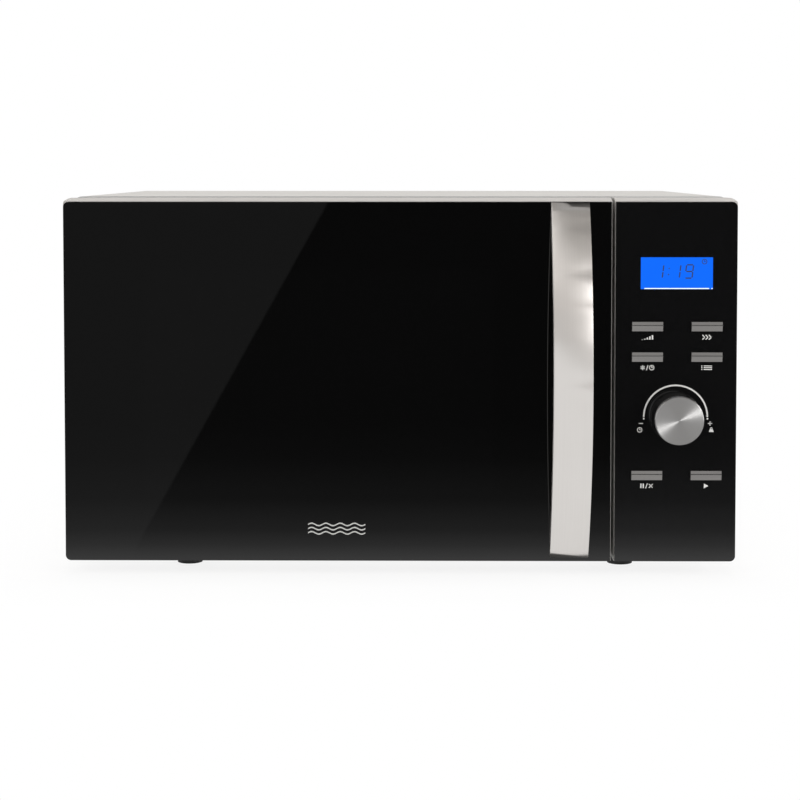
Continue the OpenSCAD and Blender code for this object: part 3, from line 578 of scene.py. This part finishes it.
def make_button_fold_shades():
    """Painted shade: a dark line across each button where its face turns, standing in for the shade at that
    fold
    """
    for name, (low, high) in BUTTONS.items():
        z = high.z - 0.42 * (high.z - low.z)
        inset = 0.9 * MM
        # painted shade laid on the button face along its fold
        flat_piece("button_fold_shade_" + name, [bar(low.x + inset, z, high.x - inset, z, 0.45 * MM)],
                   low.y + 0.3 * MM, 0.32 * MM, BUTTON_FOLD_SHADE, "push_" + name)


def dial_marks():
    x, z = KNOB_C.x, KNOB_C.z
    radius = 25.4 * MM
    sign, stroke = 1.7 * MM, 0.65 * MM
    marks = [arc(x, z, radius, 1.3 * MM, 0, 180, 64)]
    for side in (-1, 1):
        marks.append(disc(x + side * radius, z - 1.4 * MM, 0.7 * MM))
        sign_x = x + side * 27.6 * MM
        sign_z = z - 5.2 * MM
        marks.append(bar(sign_x - sign, sign_z, sign_x + sign, sign_z, stroke))
        if side > 0:
            marks.append(bar(sign_x, sign_z - sign, sign_x, sign_z + sign, stroke))
    marks += clock_icon(x - 28.6 * MM, z - 10.4 * MM)
    marks += weight_icon(x + 28.6 * MM, z - 10.4 * MM)
    return marks


# ---- Display ----

SEGMENTS = {"1": "bc", "9": "abcdfg"}


def digit(char, x, z, width, height, slant):
    """Seven-segment digit centred on x, z"""
    w, h, t = width / 2, height / 2, 1.0 * MM
    gap = 0.45 * MM
    lines = {"a": (-w + gap, h, w - gap, h), "g": (-w + gap, 0, w - gap, 0),
             "d": (-w + gap, -h, w - gap, -h),
             "b": (w, h - gap, w, gap), "c": (w, -gap, w, -h + gap),
             "f": (-w, h - gap, -w, gap), "e": (-w, -gap, -w, -h + gap)}
    marks = []
    for key in SEGMENTS[char]:
        x0, z0, x1, z1 = lines[key]
        marks.append(bar(x + x0 + slant * z0, z + z0, x + x1 + slant * z1, z + z1, t))
    return marks


def display_marks():
    centre = middle(DISPLAY)
    z = centre.z + 1.4 * MM
    height, width, slant = 10.6 * MM, 5.6 * MM, 0.12
    marks = []
    for char, offset in (("1", -13.8), ("1", -0.2), ("9", 9.9)):
        marks += digit(char, centre.x + offset * MM, z, width, height, slant)
    for side in (-1, 1):
        rise = side * 2.4 * MM
        marks.append(disc(centre.x - 6.4 * MM + slant * rise, z + rise, 0.5 * MM, 10))
    marks += clock_icon(centre.x + 22.0 * MM, centre.z + 9.3 * MM, 1.9 * MM)
    return marks


def make_display():
    y = DISPLAY[0].y
    flat_piece("display_digits", display_marks(), y, 0.05 * MM, LCD_INK, "oven")
    centre = middle(DISPLAY)
    half = 25.8 * MM
    z = DISPLAY[0].z + 0.5 * MM
    light_bars = [bar(centre.x - half, z, centre.x + half, z, 0.7 * MM),
                  bar(centre.x + half + 1.8 * MM, z, DISPLAY[1].x - 0.2 * MM, z, 0.7 * MM)]
    flat_piece("display_light_bar", light_bars, y, 0.08 * MM, LIGHT_BAR, "oven")


# ---- Door emblem: three plain waves ----

def emblem_marks():
    x = -50.8 * MM
    z = GLASS[0].z + 26.0 * MM
    length, rise, steps = 46 * MM, 1.0 * MM, 72
    marks = []
    for row in (-1, 0, 1):
        points = [(x + length * (k / steps - 0.5),
                   z + row * 3.4 * MM + rise * math.sin(8 * math.pi * k / steps)) for k in range(steps + 1)]
        half = 0.5 * MM
        marks.append([(px, pz + half) for px, pz in points] + [(px, pz - half) for px, pz in points[::-1]])
    return marks


# ---- Screw heads ----

def screw_heads():
    """Domed heads with a cross recess in place of the plain case screws"""
    low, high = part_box("rear_panel")
    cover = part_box("outer_cover")
    rear_y = high.y
    places = [(Vector((x * MM, rear_y, z)), Vector((0, 1, 0)))
              for x in (-240, -80, 80, 240) for z in (low.z + 12 * MM, high.z - 12 * MM)]
    for side, face in ((-1, cover[0].x), (1, cover[1].x)):
        places += [(Vector((face, y * MM, cover[0].z + 8 * MM)), Vector((side, 0, 0)))
                   for y in (-100, 60, 180)]
    form = bmesh.new()
    for place, out in places:
        turn = out.to_track_quat("Z", "X").to_matrix().to_4x4()
        add_screw(form, Matrix.Translation(place) @ turn)
    mesh = bpy.data.meshes.new("screw_heads")
    form.to_mesh(mesh)
    form.free()
    mesh.shade_smooth()
    piece = link_piece("screw_heads", mesh, MATERIALS["bright_steel"], "oven")
    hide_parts("case_screws")


def add_screw(form, matrix):
    """Lathed dome of radius 4 whose middle dips in a cross"""
    radius, height, rings, sides = 4.0 * MM, 1.6 * MM, 10, 32
    grid = []
    for r in range(1, rings + 1):
        reach = radius * r / rings
        row = []
        for s in range(sides):
            a = 2 * math.pi * s / sides
            px, py = reach * math.cos(a), reach * math.sin(a)
            z = height * math.sqrt(max(0.0, 1 - (r / rings) ** 2 * 0.9))
            arm = min(abs(px), abs(py)) < 0.45 * MM and reach < 2.3 * MM
            row.append(form.verts.new(matrix @ Vector((px, py, z - (0.9 * MM if arm else 0)))))
        grid.append(row)
    foot = [form.verts.new(matrix @ Vector((radius * math.cos(2 * math.pi * s / sides),
                                            radius * math.sin(2 * math.pi * s / sides), 0)))
            for s in range(sides)]
    grid.append(foot)
    centre = form.verts.new(matrix @ Vector((0, 0, height - 0.9 * MM)))
    for s in range(sides):
        n = (s + 1) % sides
        form.faces.new((centre, grid[0][s], grid[0][n]))
        for inner, outer in zip(grid, grid[1:]):
            form.faces.new((inner[s], outer[s], outer[n], inner[n]))
    form.faces.new(foot[::-1])


# ---- Stage, light and world ----

def make_floor():
    """Pale floor: in mirrors it fades out in front of the oven, and far off the camera sees it white"""
    mesh = bpy.data.meshes.new("floor")
    size = 9.0
    corners = [(-size, -size, 0), (size, -size, 0), (size, size, 0), (-size, size, 0)]
    mesh.from_pydata(corners, [], [(0, 1, 2, 3)])
    floor = bpy.data.objects.new("floor", mesh)
    scene.collection.objects.link(floor)
    material, tree, shader = new_material("floor_pale", (0.93, 0.93, 0.93), 0.9, Specular_IOR_Level=0.1)
    part = add_node(tree, "ShaderNodeSeparateXYZ",
                    {0: add_node(tree, "ShaderNodeTexCoord").outputs["Object"]}).outputs
    half_x, half_y = cad_bounds[1].x, -FRONT_Y
    beyond = []
    for axis, half in ((0, half_x), (1, half_y)):
        past = math_node(tree, "SUBTRACT", math_node(tree, "ABSOLUTE", part[axis]), half)
        beyond.append(math_node(tree, "MAXIMUM", past, 0.0))
    away = math_node(tree, "SQRT", math_node(tree, "ADD", math_node(tree, "POWER", beyond[0], 2.0),
                                             math_node(tree, "POWER", beyond[1], 2.0)))
    # metres away from the oven's outline, and the share of the floor that a mirror shows there
    fade = [(0.0, 1.0), (0.063, 0.95), (0.117, 0.54), (0.184, 0.28), (0.336, 0.1), (0.6, 0.02), (0.9, 0.0)]
    gone = ramp_node(tree, away, [(place, (1 - share,) * 3) for place, share in fade])
    ray = add_node(tree, "ShaderNodeLightPath").outputs
    hidden = math_node(tree, "MULTIPLY", gone, ray["Is Singular Ray"])
    white = add_node(tree, "ShaderNodeEmission", {"Color": (1, 1, 1, 1), "Strength": 1.0})
    haze = ramp_node(tree, away, [(0.0, (0.85,) * 3), (0.05, (0.95,) * 3), (0.12, (1, 1, 1))])
    looked_at = math_node(tree, "MAXIMUM", ray["Is Camera Ray"], ray["Is Glossy Ray"])
    share = math_node(tree, "MULTIPLY", haze, looked_at)
    pale = add_node(tree, "ShaderNodeMixShader", {0: share, 1: shader.outputs[0], 2: white.outputs[0]})
    clear = add_node(tree, "ShaderNodeBsdfTransparent")
    seen = add_node(tree, "ShaderNodeMixShader", {0: hidden, 1: pale.outputs[0], 2: clear.outputs[0]})
    tree.links.new(seen.outputs[0], tree.nodes["Material Output"].inputs["Surface"])
    mesh.materials.append(material)


def front_direction(x, z):
    """Direction in which the front glass, at that point, mirrors the camera's line of sight"""
    return Vector((x - CAMERA_X, -CAMERA_DISTANCE, z - CAMERA_Z)).normalized()


def make_world():
    """White for the camera, a studio for other rays. Mirrors see it dark ahead, with a paler left part"""
    world = bpy.data.worlds.new("studio")
    scene.world = world
    world.use_nodes = True
    tree = world.node_tree
    direction = add_node(tree, "ShaderNodeTexCoord").outputs["Generated"]
    part = add_node(tree, "ShaderNodeSeparateXYZ", {0: direction}).outputs
    height = math_node(tree, "MULTIPLY", math_node(tree, "ADD", part[2], 1.0), 0.5)
    dome = ramp_node(tree, height, [(0.0, (0.9,) * 3), (0.49, (0.95,) * 3), (0.52, (0.7, 0.69, 0.68)),
                                    (0.695, (0.72, 0.69, 0.67)), (0.79, (0.5, 0.48, 0.46)),
                                    (0.9, (0.36, 0.345, 0.33)), (1.0, (0.5,) * 3)])
    low = add_node(tree, "ShaderNodeMapRange", {"Value": part[2], "From Min": 0.05, "From Max": 0.15,
                                                "To Min": 1.0, "To Max": 0.0}, clamp=True).outputs[0]
    aside = math_node(tree, "ABSOLUTE", part[0])
    ahead = add_node(tree, "ShaderNodeMapRange", {"Value": aside, "From Min": 0.24, "From Max": 0.4,
                                                  "To Min": 1.0, "To Max": 0.0}, clamp=True).outputs[0]
    front = math_node(tree, "LESS_THAN", part[1], 0.0)
    ray = add_node(tree, "ShaderNodeLightPath").outputs
    pit = ray["Is Singular Ray"]
    for part_of_pit in (low, ahead, front):
        pit = math_node(tree, "MULTIPLY", pit, part_of_pit)
    upper = front_direction(-55.8 * MM, 299.2 * MM)
    lower = front_direction(-207.5 * MM, 27.6 * MM)
    edge = lower.cross(upper).normalized()
    if edge.x > 0:
        edge.negate()
    side = add_node(tree, "ShaderNodeVectorMath", {0: direction, 1: edge},
                    operation="DOT_PRODUCT").outputs["Value"]
    paler = add_node(tree, "ShaderNodeMapRange", {"Value": side, "From Min": 0.0, "From Max": 0.0015,
                                                  "To Min": 0.05, "To Max": 0.18}, clamp=True).outputs[0]
    ahead_color = add_node(tree, "ShaderNodeCombineXYZ", {0: paler, 1: paler, 2: paler}).outputs[0]
    studio_color = mix_color(tree, pit, dome, ahead_color)
    seen = add_node(tree, "ShaderNodeBackground", {"Color": (1, 1, 1, 1), "Strength": 1.0})
    studio = add_node(tree, "ShaderNodeBackground", {"Color": studio_color, "Strength": 1.0})
    mix = add_node(tree, "ShaderNodeMixShader",
                   {0: ray["Is Camera Ray"], 1: studio.outputs[0], 2: seen.outputs[0]})
    tree.links.new(mix.outputs[0], tree.nodes["World Output"].inputs["Surface"])


def area_light(name, place, target, size, power, color=(1, 1, 1)):
    data = bpy.data.lights.new(name, "AREA")
    data.shape = "RECTANGLE"
    data.size, data.size_y = size
    data.energy = power
    data.color = color
    light = bpy.data.objects.new(name, data)
    scene.collection.objects.link(light)
    light.location = place
    light.rotation_euler = (Vector(target) - Vector(place)).to_track_quat("-Z", "Y").to_euler()
    light.visible_camera = False
    return light


def make_lights():
    """Soft studio light. The glint reaches only the knob's cap, and gives its turned face a streak"""
    top = area_light("top_light", (0, 0.3, 2.2), (0, 0, 0.1), (2.4, 2.4), 20)
    top.visible_glossy = False
    area_light("left_light", (-1.6, -1.4, 1.6), (0, 0, 0.15), (1.0, 1.2), 10)
    area_light("right_light", (1.8, -1.0, 0.75), (0, 0, 0.15), (0.5, 0.5), 11)
    glint = area_light("glint_light", (1.01, -1.62, 0.17), KNOB_C, (0.12, 0.12), 6.0)
    glint.visible_diffuse = False
    lit = bpy.data.collections.new("glint_lit")
    lit.objects.link(bpy.data.objects["knob_cap"])
    glint.light_linking.receiver_collection = lit
    for side in (-1, 1):
        area_light("side_strip", (side * 1.5, -0.2, 0.4), (0, -0.2, 0.15), (0.5, 0.9), 6)


scene.view_settings.view_transform = "Standard"
make_camera()
make_world()
make_floor()
make_lights()
paint_nodes()
for node_name, edge_mm in SOFT_EDGES.items():
    soften(node_name, edge_mm)
flat_piece("panel_symbols", button_symbols(), FRONT_Y, 0.06 * MM, PRINT_WHITE, "oven")
flat_piece("dial_scale", dial_marks(), FRONT_Y, 0.06 * MM, PRINT_WHITE, "oven")
make_display()
make_button_fold_shades()
flat_piece("door_emblem", emblem_marks(), GLASS[0].y, 0.2 * MM, PRINT_SILVER, "door")
screw_heads()
